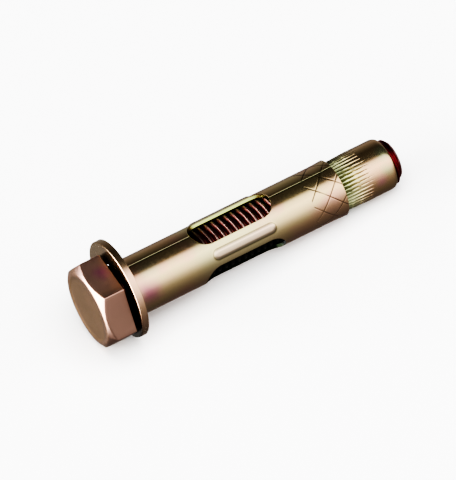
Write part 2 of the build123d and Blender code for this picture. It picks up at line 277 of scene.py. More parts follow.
class Graph:
    """A node tree, and the one way that nodes are added to it."""

    def __init__(self, tree):
        self.tree = tree
        tree.nodes.clear()

    def node(self, kind, settings=None, sockets=None, output=0):
        """Adds a node: its settings first, then the values or wires of its sockets."""
        made = self.tree.nodes.new(kind)
        for key, value in (settings or {}).items():
            if key == "stops":
                ramp = made.color_ramp.elements
                while len(ramp) < len(value):
                    ramp.new(0.5)
                for stop, (place, shade) in zip(ramp, value):
                    stop.position = place
                    stop.color = (*shade, 1)
            else:
                setattr(made, key, value)
        for key, value in (sockets or {}).items():
            if isinstance(value, Wire):
                self.tree.links.new(value.socket, made.inputs[key])
            else:
                made.inputs[key].default_value = value
        return Wire(self, made.outputs[output]) if made.outputs else made

    def maths(self, operation, first, second=0.0):
        """A Math node on one or two values."""
        return self.node("ShaderNodeMath", {"operation": operation}, {0: first, 1: second})

    def mix(self, share, first, second):
        """Mixes two colours."""
        first, second = (end if isinstance(end, Wire) else (*end, 1) for end in (first, second))
        sockets = {"Factor": share, 6: first, 7: second}
        return self.node("ShaderNodeMix", {"data_type": "RGBA"}, sockets, output=2)

    def lay(self, tone, *films):
        """Lays films on a tone in order, each given as the share that it covers and its colour."""
        for share, shade in films:
            tone = self.mix(share, tone, shade)
        return tone

    def rise(self, value, span, start=0.0):
        """0 before a span and 1 past it, smooth between. The span is measured from start."""
        return self.node(
            "ShaderNodeMapRange",
            {"interpolation_type": "SMOOTHSTEP"},
            {"Value": value, "From Min": start + span[0], "From Max": start + span[1]},
        )

    def fall(self, value, span, start=0.0):
        """1 before a span and 0 past it, smooth between. The span is measured from start."""
        return 1 - self.rise(value, span, start)

    def axes(self, vector):
        """The three parts of a vector."""
        apart = self.node("ShaderNodeSeparateXYZ", None, {"Vector": vector})
        return [Wire(self, part) for part in apart.socket.node.outputs]

    def cylinder(self, place):
        """Distance along the axis, to its side and above it, and distance from it."""
        along, side, high = self.axes(place)
        return along, side, high, self.maths("SQRT", side * side + high * high)

    def noise(self, place, scale, detail=2.0, stretch=1, shift=(0, 0, 0)):
        """Noise from 0 to 1, drawn out along the axis where stretch is below 1."""
        sockets = {"Vector": place, "Scale": (stretch, 1, 1), "Location": shift}
        moved = self.node("ShaderNodeMapping", None, sockets)
        return self.node(
            "ShaderNodeTexNoise", None, {"Vector": moved, "Scale": scale, "Detail": detail}
        )

    def near(self, place, middle, reach, uneven=0.0):
        """1 at a middle and 0 beyond its reach, which noise makes uneven by a length."""
        points = {0: place, 1: middle}
        away = self.node("ShaderNodeVectorMath", {"operation": "DISTANCE"}, points, output=1)
        if uneven:
            away = away + self.noise(place, SPOT_SCALE) * uneven
        return self.fall(away, reach)


def mm(*values):
    """Lengths given in millimetres."""
    return [value * MM for value in values]


def spot(along, radius, degrees, full, reach, uneven):
    """A spot for Graph.near, in mm: its middle, how far it is full and reaches, its unevenness."""
    middle = round_axis(along * MM, radius * MM, math.radians(degrees))
    return middle, mm(full, reach), uneven * MM


# Scale of the noise in the edges of spots
SPOT_SCALE = 400

# Drifts of film: the noise's scale, detail, stretch and shift, and where the drift sets in
DRIFTS = (
    (90, 2.0, 0.45, 0, (0.45, 0.62)),
    (150, 3.0, 0.6, 3, (0.48, 0.66)),
    (120, 2.0, 0.8, 7, (0.60, 0.74)),
)

# Streaks in the far side's painted shade: the noise's scale and stretch, where they set in, their
# cover
STREAK_SCALE, STREAK_STRETCH, STREAK_SPAN, STREAK_COVER = 900, 0.05, (0.45, 0.6), 0.6
# Where the painted shade of the far side sets in, across the axis, and its cover
FAR_SIDE, FAR_COVER = mm(1.8, 4.0), 0.8

# Mottle and lines drawn along the axis: the noise's scale, and its share of roughness and height
MOTTLE_SCALE, MOTTLE_ROUGH, MOTTLE_HEIGHT = 1500, 0.10, 0.6
DRAWN_SCALE, DRAWN_ROUGH, DRAWN_HEIGHT = 2600, 0.06, 0.4
DRAWN_STRETCH = 0.06
# Taken off the roughness, against what mottle and lines add to it
ROUGH_LESS = 0.05
BUMP_STRENGTH, BUMP_DISTANCE = 0.25, 0.01 * MM


def film(graph, place, shift, colours, weights):
    """Plating colour: drifts of the later colours' film lie over the first colour."""
    tone = colours[0]
    for shade, weight, (scale, detail, stretch, step, span) in zip(colours[1:], weights, DRIFTS):
        drift = graph.noise(place, scale, detail, stretch, [value + step for value in shift])
        tone = graph.mix(graph.rise(drift, span) * weight, tone, shade)
    return tone


def far_side_shade(graph, finish, place, side):
    """Painted shade on the far side: the share that it covers, and brown with red streaks."""
    streaks = graph.rise(graph.noise(place, STREAK_SCALE, 2.0, STREAK_STRETCH), STREAK_SPAN)
    brown = graph.mix(streaks * STREAK_COVER, finish.far_shade_brown, finish.far_red)
    return graph.rise(side, FAR_SIDE) * FAR_COVER, brown


def plating(name, colours, weights, shift, roughness, extra):
    """Yellow zinc plating: a metal whose film changes colour, lightly scratched and mottled.

    Extra takes the colour, roughness and height, and returns them with what the piece adds.
    """
    material = bpy.data.materials.new(name)
    material.use_nodes = True
    graph = Graph(material.node_tree)
    place = graph.node("ShaderNodeTexCoord", output=3)
    tone = film(graph, place, shift, colours, weights)
    mottle = graph.noise(place, MOTTLE_SCALE, 3.0)
    drawn = graph.noise(place, DRAWN_SCALE, 2.0, DRAWN_STRETCH)
    rough = roughness + mottle * MOTTLE_ROUGH + drawn * DRAWN_ROUGH - ROUGH_LESS
    height = mottle * MOTTLE_HEIGHT + drawn * DRAWN_HEIGHT
    tone, rough, height = extra(graph, place, tone, rough, height)
    bump = {"Strength": BUMP_STRENGTH, "Distance": BUMP_DISTANCE, "Height": height}
    normal = graph.node("ShaderNodeBump", None, bump)
    sockets = {"Base Color": tone, "Metallic": 1.0, "Roughness": rough, "Normal": normal}
    metal = graph.node("ShaderNodeBsdfPrincipled", None, sockets)
    graph.node("ShaderNodeOutputMaterial", None, {"Surface": metal})
    return material


# ---------------------------------------------------------------- mesh helpers

# Edges sharper than this stay sharp in the shading
SMOOTH_ANGLE = math.radians(38)


def round_axis(x, radius, turn):
    """Points at distance x along the axis, at a radius and an angle from the head's top flat."""
    x, radius, turn = np.broadcast_arrays(x, radius, turn - REST_TURN)
    return np.stack([x, radius * np.sin(turn), radius * np.cos(turn)], axis=-1)


def smooth(value, low, high):
    """0 below low and 1 above high, with an even S between."""
    share = np.clip((value - low) / (high - low), 0, 1)
    return share * share * (3 - 2 * share)


def soft_min(first, second, reach):
    """The smaller of two values, rounded over a reach where they cross."""
    share = np.clip(0.5 + (second - first) / (2 * reach), 0, 1)
    return second * (1 - share) + first * share - reach * share * (1 - share)


def from_whole(value):
    """Distance of each value from the whole number nearest to it."""
    return np.abs(value - np.round(value))


def loop_quads(rows, columns, close_rows=False):
    """Quads of a grid that wraps round its columns, and round its rows if asked."""
    row = np.arange(rows if close_rows else rows - 1)[:, None] * columns
    column = np.arange(columns)[None, :]
    after = (column + 1) % columns
    below = (row + columns) % (rows * columns)
    quads = [row + column, row + after, below + after, below + column]
    return np.stack(quads, axis=-1).reshape(-1, 4)


def pole_fan(pole, start, columns, flip):
    """Triangles from a pole to a ring of grid points."""
    column = np.arange(columns)
    after = (column + 1) % columns
    first, second = (after, column) if flip else (column, after)
    return np.stack([np.full(columns, pole), start + first, start + second], axis=-1)


def make_piece(name, points, polygons, material, uv=None):
    """Makes a smooth mesh object from points and a list of polygon arrays."""
    mesh = bpy.data.meshes.new(name)
    sizes = np.concatenate([np.full(len(block), block.shape[1]) for block in polygons])
    corners = np.concatenate([block.ravel() for block in polygons]).astype(np.int32)
    used, corners = np.unique(corners, return_inverse=True)
    mesh.vertices.add(len(used))
    mesh.vertices.foreach_set("co", points.reshape(-1, 3)[used].astype(np.float32).ravel())
    mesh.loops.add(len(corners))
    mesh.loops.foreach_set("vertex_index", corners.astype(np.int32))
    mesh.polygons.add(len(sizes))
    mesh.polygons.foreach_set("loop_start", (np.cumsum(sizes) - sizes).astype(np.int32))
    mesh.update(calc_edges=True)
    if uv is not None:
        layer = mesh.uv_layers.new(name="sheet")
        layer.data.foreach_set("uv", uv.reshape(-1, 2)[used][corners].astype(np.float32).ravel())
    mesh.polygons.foreach_set("use_smooth", np.ones(len(sizes), dtype=bool))
    mesh.set_sharp_from_angle(angle=SMOOTH_ANGLE)
    mesh.materials.append(material)
    piece = bpy.data.objects.new(name, mesh)
    bpy.context.scene.collection.objects.link(piece)
    return piece


def place_piece(piece, node, body):
    """The piece stands for a node of the frame and rides on its body."""
    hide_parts(node)
    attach(piece, body)


# Slope of the thread's flanks, and the rounding of its crests and roots
FLANK_SLOPE = math.tan(math.radians(30))
THREAD_SOFT = 0.05 * MM


def thread_radius(x, turn, bolt, gap=0.0):
    """Right-hand thread: the radius falls from each crest at the flank's slope down to the root.

    The crest's place is where x / pitch + turn / 2 pi is a whole number.
    """
    away = from_whole(x / bolt.pitch + turn / TURN) * bolt.pitch
    flank = bolt.middle + gap + (bolt.pitch / 4 - away) / FLANK_SLOPE
    capped = soft_min(flank, bolt.crest + gap, THREAD_SOFT)
    return -soft_min(-capped, -(bolt.root + gap), THREAD_SOFT)


# ---------------------------------------------------------------- hex bolt

SIXTH = TURN / 6

# Columns of the grid round each corner of the head and along each flat, and rows round the end
# face's edge and round each other edge
CORNER_COLUMNS, FLAT_COLUMNS = 7, 15
RIM_ROWS, EDGE_ROWS = 6, 5

# Rings of the end face as shares of its radius, and the shares over which the dish runs out
FACE_RINGS = (0.25, 0.5, 0.7, 0.8, 0.835, 0.86, 0.885, 0.91, 0.94)
DISH_EDGE = (0.82, 0.91)

# Small roundings: where the collar meets the head, at the collar's edge and under the head
COLLAR_FOOT, COLLAR_EDGE, NECK = 0.05 * MM, 0.08 * MM, 0.4 * MM

# Places where the rows down the thread change their spacing, and the rows in a pitch between them
SHANK_BREAKS = (14 * MM, 37 * MM, 56 * MM)
SHANK_ROWS = (10, 26, 10, 24)
# Where those rows start, the pitches over which the thread runs out there, and the tip's rounding
SHANK_START, RUN_OUT, TIP_SOFT = 0.5 * MM, (1, 2.5), 0.08 * MM
# Gap between the last of those rows and the tip's end
LAST_ROW_GAP = 0.02 * MM


def corner_limit(flats, corner_round):
    """Angle from a corner of the head to the place where its rounding meets the flat."""
    half = flats / 2
    return SIXTH / 2 - math.atan2((half - corner_round) * math.tan(SIXTH / 2), half)


def hex_radius(turn, flats, corner_round):
    """Radius of a hexagon with flats at turn 0, its corners rounded by arcs."""
    from_flat = from_whole(turn / SIXTH) * SIXTH
    from_corner = SIXTH / 2 - from_flat
    centre = (flats / 2 - corner_round) / math.cos(SIXTH / 2)
    on_flat = flats / 2 / np.cos(from_flat)
    inside = np.maximum(corner_round**2 - (centre * np.sin(from_corner)) ** 2, 0)
    on_corner = centre * np.cos(from_corner) + np.sqrt(inside)
    return np.where(from_corner < corner_limit(flats, corner_round), on_corner, on_flat)


def hex_columns(flats, corner_round):
    """Angles round the head, close together at its corners and 4 degrees apart on its flats."""
    limit = corner_limit(flats, corner_round)
    corner = np.linspace(-limit, limit, CORNER_COLUMNS) + SIXTH / 2
    flat = np.linspace(limit - SIXTH / 2, SIXTH / 2 - limit, FLAT_COLUMNS)[1:-1]
    return np.concatenate([np.concatenate([flat, corner]) + SIXTH * step for step in range(6)])


def curve(start, knee, end, count):
    """Points of a quadratic curve from start to end, drawn towards the knee."""
    return [
        [(1 - t) ** 2 * a + 2 * t * (1 - t) * b + t**2 * c for a, b, c in zip(start, knee, end)]
        for t in np.linspace(0, 1, count)
    ]


def head_rows(bolt, turn):
    """Rows of x and radius over the head, from the dish in its end face to its neck."""
    edge = bolt.edge_round
    outer = hex_radius(turn, bolt.flats, bolt.corner_round)
    front = bolt.head_end
    face = (bolt.flats - bolt.face_inset) / 2
    collar = (bolt.flats - bolt.collar_inset) / 2
    slope = math.tan(bolt.chamfer)
    bearing = front + bolt.head_height
    under = bearing - bolt.collar_height
    shoulder = front + (outer - face) * slope
    dished = [front + bolt.dish * (1 - smooth(ring, *DISH_EDGE)) for ring in FACE_RINGS]
    rows = [(x, face * ring) for x, ring in zip(dished, FACE_RINGS)]
    rise = edge * slope
    rows += curve((front, face - 2 * edge), (front, face), (front + rise, face + edge), RIM_ROWS)
    flat = (shoulder + 2 * edge, outer)
    rows += curve((shoulder - rise, outer - edge), (shoulder, outer), flat, EDGE_ROWS)
    rows.append(((shoulder + under) / 2, outer))
    rows += curve((under - edge, outer), (under, outer), (under, outer - edge), EDGE_ROWS)
    rows += [(under, collar + COLLAR_FOOT), (under + COLLAR_FOOT, collar)]
    rows += [(bearing - COLLAR_EDGE, collar), (bearing, collar - COLLAR_EDGE)]
    for bend in np.linspace(0, math.pi / 2, EDGE_ROWS):
        rows.append(
            (bearing + NECK * (1 - math.cos(bend)), bolt.middle + NECK * (1 - math.sin(bend)))
        )
    return [np.stack([row[part] + 0 * turn for row in rows]) for part in (0, 1)]


def shank_rows(bolt, turn):
    """Rows of x and radius down the thread, closer where the windows show it and at the tip."""
    start = bolt.head_end + bolt.head_height + SHANK_START
    places = (start, *SHANK_BREAKS, bolt.tip_end - LAST_ROW_GAP)
    runs = [
        np.arange(low, high, bolt.pitch / rows)
        for low, high, rows in zip(places, places[1:], SHANK_ROWS)
    ]
    stations = np.concatenate(runs)[:, None]
    radius = thread_radius(stations, turn[None, :], bolt)
    full = smooth(stations, start + RUN_OUT[0] * bolt.pitch, start + RUN_OUT[1] * bolt.pitch)
    radius = bolt.middle + (radius - bolt.middle) * full
    radius = soft_min(radius, bolt.tip_radius + (bolt.tip_end - stations), TIP_SOFT)
    return np.broadcast_to(stations, radius.shape), radius


class ANCHOR_OT_bolt(bpy.types.Operator):
    """Makes the hex bolt with its rolled thread."""

    bl_idname = "anchor.bolt"
    bl_label = "Hex bolt"

    def execute(self, context):
        bolt = context.scene.anchor_bolt
        turn = hex_columns(bolt.flats, bolt.corner_round)
        count = len(turn)
        tip_radius = np.array([1.0, 0.5])[:, None] * bolt.tip_radius * np.ones(count)
        tip = np.full((2, count), bolt.tip_end), tip_radius
        parts = zip(head_rows(bolt, turn), shank_rows(bolt, turn), tip)
        x, radius = (np.concatenate(part) for part in parts)
        grid = round_axis(x, radius, turn[None, :])
        rows = len(grid)
        poles = np.array([[bolt.head_end + bolt.dish, 0, 0], [bolt.tip_end, 0, 0]])
        points = np.concatenate([grid.reshape(-1, 3), poles])
        quads = loop_quads(rows, count)[:, ::-1]
        first = pole_fan(rows * count, 0, count, flip=True)[:, ::-1]
        last = pole_fan(rows * count + 1, (rows - 1) * count, count, flip=False)[:, ::-1]
        material = bolt_finish(context.scene)
        piece = make_piece("plated_hex_bolt", points, [quads, first, last], material)
        place_piece(piece, "hex_bolt", "bolt")
        return {"FINISHED"}


# Where films set in on the head: across it, up from the axis, out from the end face's edge, in from
# the end face and down to the collar, where the painted shade under the head sets in
NEAR_FLATS, TOP_FLAT = mm(-6.6, -5.0), mm(7.2, 8.0)
RIM_WIDTH, FACE_DEPTH, RIM_DEPTH = mm(-1.1, -0.4), mm(0.05, 0.2), mm(0.1, 0.3)
UNDER_HEAD, BELOW_HEAD = mm(-0.2, -0.1), mm(-0.02, 0.1)
# Where colours set in on the thread: out to its crest for the painted highlight, up from the axis
# for the painted shade on its lower side, out to the collar for the painted shadow, and back from
# the tip
CREST_DEPTH, THREAD_SHADE, COLLAR_BASE = mm(-0.16, -0.01), mm(0.4, 2.6), mm(0.2, 0.5)
TIP_LENGTH, TIP_RIM = mm(-2.5, -1.8), mm(-0.6, -0.3)
# Specks in the end face's rim: the noise's scale, where they set in, and the rim's least and
# further cover
SPECK_SCALE, SPECK_SPAN, SPECK_COVER = 2200, (0.4, 0.6), (0.3, 0.6)
# What the thread's plating adds to the roughness
THREAD_ROUGH = 0.03
MAGENTA_SPOT = spot(along=-4.2, radius=8.6, degrees=6, full=0.8, reach=3.4, uneven=1.6)


def bolt_finish(scene):
    """Coppery head with a magenta patch on its top flat and painted shade under it; dark red thread
    with painted highlights on its crests, painted shade on its lower side and a painted shadow on
    the collar.
    """
    finish = scene.anchor_finish
    bolt = scene.anchor_bolt
    under = bolt.head_end + bolt.head_height - bolt.collar_height
    face = (bolt.flats - bolt.face_inset) / 2

    def redden(graph, place, tone, rough, height):
        along, side, high, radius = graph.cylinder(place)
        speck = graph.rise(graph.noise(place, SPECK_SCALE), SPECK_SPAN)
        rim = graph.rise(radius, RIM_WIDTH, face) * graph.fall(along, RIM_DEPTH, bolt.head_end)
        tone = graph.lay(
            tone,
            (graph.fall(side, NEAR_FLATS) * 0.9, finish.head_side),
            (graph.fall(along, FACE_DEPTH, bolt.head_end) * 0.9, finish.head_face),
            (graph.rise(high, TOP_FLAT) * 0.8, finish.head_top),
            (graph.near(place, *MAGENTA_SPOT) * 0.75, finish.magenta),
            (rim * (SPECK_COVER[0] + speck * SPECK_COVER[1]), finish.head_rim),
            # Painted shade under the head, down to the collar
            (graph.rise(along, UNDER_HEAD, under) * 0.9, finish.painted_shade),
        )
        shank = graph.lay(
            finish.thread,
            # Painted highlight on the thread's crests
            (graph.rise(radius, CREST_DEPTH, bolt.crest), finish.crest),
            # Painted shade over the thread's lower side, up to a little above the axis
            (graph.fall(high, THREAD_SHADE), finish.painted_shade),
            # Painted shadow on the collar under the head
            (graph.rise(radius, COLLAR_BASE, bolt.crest), finish.collar),
            (graph.rise(along, TIP_LENGTH, bolt.tip_end), finish.tip),
            (graph.rise(along, TIP_RIM, bolt.tip_end) * 0.8, finish.tip_rim),
        )
        below = graph.rise(along, BELOW_HEAD, under)
        return graph.mix(below, tone, shank), rough + below * THREAD_ROUGH, height

    colours = (finish.copper, finish.gold, finish.pink, finish.purple)
    weights, shift = (0.5, 0.45, 0.35), (0.3, 1.1, 0.2)
    return plating("plated_bolt_finish", colours, weights, shift, roughness=0.32, extra=redden)


# ---------------------------------------------------------------- washer

# Columns of the grid round the washer, rows round each of its edges, and rows across its faces
WASHER_COLUMNS, BEND_ROWS, FACE_ROWS = 240, 7, 5


class ANCHOR_OT_washer(bpy.types.Operator):
    """Makes the punched washer with its rolled front edge."""

    bl_idname = "anchor.washer"
    bl_label = "Washer"

    def execute(self, context):
        washer = context.scene.anchor_washer
        front, back = WASHER_BOX[0][0], WASHER_BOX[1][0]
        outer = (WASHER_BOX[1][1] - WASHER_BOX[0][1]) / 2
        lift = (WASHER_BOX[1][2] + WASHER_BOX[0][2]) / 2
        bend = np.linspace(0, math.pi / 2, BEND_ROWS)
        middle = np.linspace(washer.hole, outer, FACE_ROWS)[1:-1]
        big, small = washer.edge_round, washer.back_round
        x = np.concatenate(
            [
                front + big * (1 - np.cos(bend[::-1])),
                [front] * len(middle),
                front + big * (1 - np.cos(bend)),
                back - small * (1 - np.sin(bend)),
                [back] * len(middle),
                back - small * (1 - np.cos(bend)),
            ]
        )
        radius = np.concatenate(
            [
                washer.hole + big * (1 - np.sin(bend[::-1])),
                middle,
                outer - big * (1 - np.sin(bend)),
                outer - small * (1 - np.cos(bend)),
                middle[::-1],
                washer.hole + small * (1 - np.sin(bend)),
            ]
        )
        turn = np.linspace(0, TURN, WASHER_COLUMNS, endpoint=False)
        points = round_axis(x[:, None], radius[:, None], turn[None, :]) + np.array([0, 0, lift])
        quads = loop_quads(len(x), len(turn), close_rows=True)[:, ::-1]
        material = washer_finish(context.scene, front)
        piece = make_piece("plated_washer", points, [quads], material)
        place_piece(piece, "washer", "washer")
        return {"FINISHED"}


# Where films and painted shade set in on the washer: across it, for the painted shade on the far
# side and the pink on the near one, and out from the head's flats and in from its front, for the
# painted shade under the head
FAR_HALF, NEAR_HALF, HIDDEN_HALF = mm(-1.0, 3.0), mm(-6.0, -1.0), mm(-4.0, 1.0)
HIDDEN_RING, HIDDEN_DEPTH = mm(1.0, 2.0), mm(0.1, 0.3)


def washer_finish(scene, front):
    """Olive film, painted shade in brown on the far side, pink on the near one and painted shade
    under the head.
    """
    finish = scene.anchor_finish
    bolt = scene.anchor_bolt

    def darken(graph, place, tone, rough, height):
        along, side, _, radius = graph.cylinder(place)
        # Painted shade on the face under the head: close to the head's flats, away from the far
        # side and at the front
        shade_under_head = graph.fall(radius, HIDDEN_RING, bolt.flats / 2) * graph.fall(side, HIDDEN_HALF)
        shade_under_head = shade_under_head * graph.fall(along, HIDDEN_DEPTH, front)
        tone = graph.lay(
            tone,
            # Painted shade on the far side
            (graph.rise(side, FAR_HALF) * 0.6, finish.washer_far_shade),
            (graph.fall(side, NEAR_HALF) * 0.6, finish.pink),
            # Painted shade under the head
            (shade_under_head * 0.95, finish.painted_shade),
        )
        return tone, rough, height

    colours = (finish.olive, finish.green, finish.pink, finish.copper)
    weights, shift = (0.5, 0.45, 0.3), (2.1, 0.4, 0.9)
    return plating("plated_washer_finish", colours, weights, shift, roughness=0.22, extra=darken)


# ---------------------------------------------------------------- expansion sleeve

THIRD = TURN / 3

# Columns of the grid between two windows and over one window
BETWEEN_COLUMNS, WINDOW_COLUMNS = 42, 85

# Rows of the grid: up to the windows, at each round end, along them, down to the grooved band and
# along the band
BEFORE_ROWS, END_ROWS, ALONG_ROWS, AFTER_ROWS, BAND_ROWS = 10, 17, 26, 8, 62
# First of the rows that are evenly spaced
FIRST_ROW = 1.2 * MM
# From the row before each end of the windows to that end, from the windows' start and from their
# stop to the row after it, and from the last row before the band to the band
ROW_BEFORE, AFTER_START, AFTER_STOP, BAND_GAP = mm(0.1, 0.5, 0.7, 0.4)
# Length over which rows straighten again beyond a window's round end
BEND_LENGTH = 9 * MM
# Length over which the crossed grooves set in
BAND_FADE = 0.3 * MM
# Soft foot of the ribs, and how much less of the rib shows inside the sheet
RIB_FOOT, HOLLOW_INSET = 0.12 * MM, 0.3 * MM
# Rows of the band for each row on its inside
INNER_STEP = 8
# Slack in telling which columns stand at a window's edge
TOUCH = 1e-6
# Broken edges' widths by which the even columns keep clear of the seam
SEAM_CLEAR = 1.5


def sheet_columns(sleeve):
    """Angles from the seam round to the seam, and the window angle share of each.

    Over a window, the angle is its middle plus half its width times the sine of an even step,
    which spaces its round ends evenly. The share runs from -1 to 1 over a window and is beyond
    that between them.
    """
    half = sleeve.window_half
    slit = sleeve.seam_width / 2 / sleeve.radius
    shift = sleeve.window - sleeve.seam
    edge = sleeve.edge / sleeve.radius
    between = np.linspace(half, THIRD - half, BETWEEN_COLUMNS)[1:-1]
    between = np.concatenate([[half + edge], between, [THIRD - half - edge]])
    over = half * np.sin(np.linspace(-math.pi / 2, math.pi / 2, WINDOW_COLUMNS))
    one_window = np.concatenate([over, between]) + shift
    # Of three windows the one across the seam is met twice
    turn = np.sort(np.concatenate([one_window + THIRD * window for window in range(4)]))
    clear = slit + edge * SEAM_CLEAR
    turn = turn[(turn > clear) & (turn < TURN - clear)]
    turn = np.concatenate([[slit, slit + edge], turn, [TURN - slit - edge, TURN - slit]])
    from_middle = (turn - shift + THIRD / 2) % THIRD - THIRD / 2
    return turn, from_middle / half


def sheet_rows(sleeve, end):
    """Base rows along the sleeve: before, along and after the windows, and down the band."""
    reach = (sleeve.radius - sleeve.wall / 2) * sleeve.window_half
    start, stop = sleeve.window_start, sleeve.window_start + sleeve.window_length
    first, last = start + reach, stop - reach
    edge = sleeve.edge
    band = end - sleeve.diamond_length
    before = np.concatenate(
        [
            [0, edge],
            np.linspace(FIRST_ROW, start - ROW_BEFORE, BEFORE_ROWS),
            np.linspace(start + AFTER_START, first - edge, END_ROWS),
        ]
    )
    along = np.linspace(first, last, ALONG_ROWS)
    after = np.concatenate(
        [
            np.linspace(last + edge, stop - ROW_BEFORE, END_ROWS),
            np.linspace(stop + AFTER_STOP, band - BAND_GAP, AFTER_ROWS),
        ]
    )
    grooved = np.concatenate([np.linspace(band, end - edge, BAND_ROWS), [end]])
    return before, along, after, grooved, reach


def sheet_grid(sleeve, end):
    """Place along the axis of every grid point, where rows bend round the windows' round ends."""
    turn, share = sheet_columns(sleeve)
    before, along, after, grooved, reach = sheet_rows(sleeve, end)
    bulge = np.where(np.abs(share) < 1, reach * np.sqrt(np.maximum(1 - share**2, 0)), 0)[None, :]
    first, last = along[0], along[-1]
    lead = smooth(before, first - BEND_LENGTH, first)[:, None]
    trail = 1 - smooth(after, last, last + BEND_LENGTH)[:, None]
    x = np.concatenate(
        [
            before[:, None] - bulge * lead,
            first - bulge,
            np.repeat(along[1:-1, None], len(turn), axis=1),
            last + bulge,
            after[:, None] + bulge * trail,
            np.repeat(grooved[:, None], len(turn), axis=1),
        ]
    )
    gap_rows = (len(before), len(before) + len(along) - 1)
    return turn, share, x, gap_rows, len(x) - len(grooved)


def flat_distance(x, across, centre, half_length, half_width):
    """Distance from a round-ended outline on the flat sheet, negative inside it."""
    over = np.maximum(np.abs(x - centre) - (half_length - half_width), 0)
    return np.hypot(over, across) - half_width


def diamond_mask(sleeve, turn, x, end):
    """1 along the middle of each crossed groove, 0 beside it."""
    spacing = TURN / sleeve.diamond_count
    twist = math.radians(sleeve.diamond_twist) / MM
    across = sleeve.radius / math.hypot(1, twist * sleeve.radius)
    start = sleeve.diamond - sleeve.seam
    away = np.full(x.shape, 1.0)
    for hand in (-1, 1):
        phase = (turn - start + hand * twist * (x - end + sleeve.diamond_crossing)) / spacing
        away = np.minimum(away, from_whole(phase) * spacing * across)
    lines = 1 - np.clip(away / (sleeve.groove_width / 2), 0, 1)
    band = end - sleeve.diamond_length
    return lines * smooth(x, band, band + BAND_FADE)


def sheet_relief(sleeve, turn, share, x, end):
    """Outer and inner radius of the sheet: flare, pressed ribs, grooves and broken edges."""
    flare = np.maximum(x - sleeve.flare_start, 0) * math.tan(sleeve.flare)
    from_rib = (turn - (sleeve.window - sleeve.seam)) % THIRD - THIRD / 2
    rib = flat_distance(
        x, from_rib * sleeve.radius, sleeve.rib_centre, sleeve.rib_length / 2, sleeve.rib_width / 2
    )
    raised = 1 - smooth(rib, -sleeve.rib_flank, RIB_FOOT)
    hollow = 1 - smooth(rib + HOLLOW_INSET, -sleeve.rib_flank, RIB_FOOT)
    reach = (sleeve.radius - sleeve.wall / 2) * sleeve.window_half
    half_length = sleeve.window_length / 2
    window = flat_distance(x, share * reach, sleeve.window_start + half_length, half_length, reach)
    slit = sleeve.seam_width / 2 / sleeve.radius
    from_seam = np.minimum(turn - slit, TURN - slit - turn) * sleeve.radius
    from_edge = np.minimum(np.minimum(window, from_seam), np.minimum(x, end - x))
    broken = sleeve.edge * (1 - np.clip(from_edge / sleeve.edge, 0, 1))
    groove = sleeve.groove_depth * smooth(diamond_mask(sleeve, turn, x, end), 0, 1)
    outer = sleeve.radius + flare + sleeve.rib_height * raised - broken - groove
    inner = sleeve.radius - sleeve.wall + flare + sleeve.rib_height * hollow
    return outer, inner


def edge_walls(mask, number_out, number_in):
    """Quads between the outer and inner sheet along every edge of the mask of cells."""
    padded = np.pad(mask, 1)
    walls = []
    row, column = np.nonzero(padded[1:, 1:-1] != padded[:-1, 1:-1])
    walls.append((row, column, row, column + 1, padded[row, column + 1]))
    row, column = np.nonzero(padded[1:-1, 1:] != padded[1:-1, :-1])
    walls.append((row, column, row + 1, column, ~padded[row + 1, column]))
    quads = []
    for row_a, column_a, row_b, column_b, turned in walls:
        first = np.where(turned, number_out[row_a, column_a], number_out[row_b, column_b])
        second = np.where(turned, number_out[row_b, column_b], number_out[row_a, column_a])
        third = np.where(turned, number_in[row_b, column_b], number_in[row_a, column_a])
        fourth = np.where(turned, number_in[row_a, column_a], number_in[row_b, column_b])
        quads.append(np.stack([first, second, third, fourth], axis=-1))
    return np.concatenate(quads)


def cells(mask, number):
    """Quads of the grid's cells that the mask keeps."""
    row, column = np.nonzero(mask)
    ring = ((0, 0), (0, 1), (1, 1), (1, 0))
    return np.stack([number[row + down, column + on] for down, on in ring], axis=-1)


class ANCHOR_OT_sleeve(bpy.types.Operator):
    """Makes the rolled sleeve with its seam, windows, ribs and crossed grooves."""

    bl_idname = "anchor.sleeve"
    bl_label = "Expansion sleeve"

    def execute(self, context):
        sleeve = context.scene.anchor_sleeve
        end = SLEEVE_BOX[1][0]
        turn, share, x, gap_rows, band_row = sheet_grid(sleeve, end)
        rows, columns = x.shape
        outer, inner = sheet_relief(sleeve, turn[None, :], share[None, :], x, end)
        around = turn[None, :] + sleeve.seam
        points = np.stack([round_axis(x, outer, around), round_axis(x, inner, around)])
        number = np.arange(2 * rows * columns).reshape(2, rows, columns)
        mask = np.ones((rows - 1, columns - 1), dtype=bool)
        over = (np.abs(share[:-1]) < 1 + TOUCH) & (np.abs(share[1:]) < 1 + TOUCH)
        over &= np.abs((share[:-1] + share[1:]) / 2) < 1
        mask[gap_rows[0] : gap_rows[1], :] = ~over
        band = np.arange(band_row, rows - 1, INNER_STEP)
        kept = np.concatenate([np.arange(band_row), band, [rows - 1]])
        outside = cells(mask, number[0])[:, ::-1]
        inside = cells(mask[kept[:-1], :], number[1][kept])
        walls = edge_walls(mask, number[0], number[1])
        in_band = np.isin(walls[:, :2], number[0][band_row:]).all(axis=1)
        across = (walls[:, 0] % columns) == (walls[:, 1] % columns)
        polygons = [outside, inside, walls[~(in_band & across)][:, ::-1]]
        for low, high in zip(kept[band_row:-1], kept[band_row + 1 :]):
            run = np.arange(low, high + 1)
            left = np.concatenate([number[0][run, 0], number[1][[high, low], 0]])
            right = np.concatenate([number[0][run[::-1], -1], number[1][[low, high], -1]])
            polygons += [left[None, ::-1], right[None, ::-1]]
        uv = np.stack(np.broadcast_arrays(turn[None, :] / TURN, x / end), axis=-1)
        material = sleeve_finish(context.scene, end)
        piece = make_piece("plated_sleeve", points, polygons, material, np.stack([uv, uv]))
        place_piece(piece, "expansion_sleeve", "sleeve")
        return {"FINISHED"}


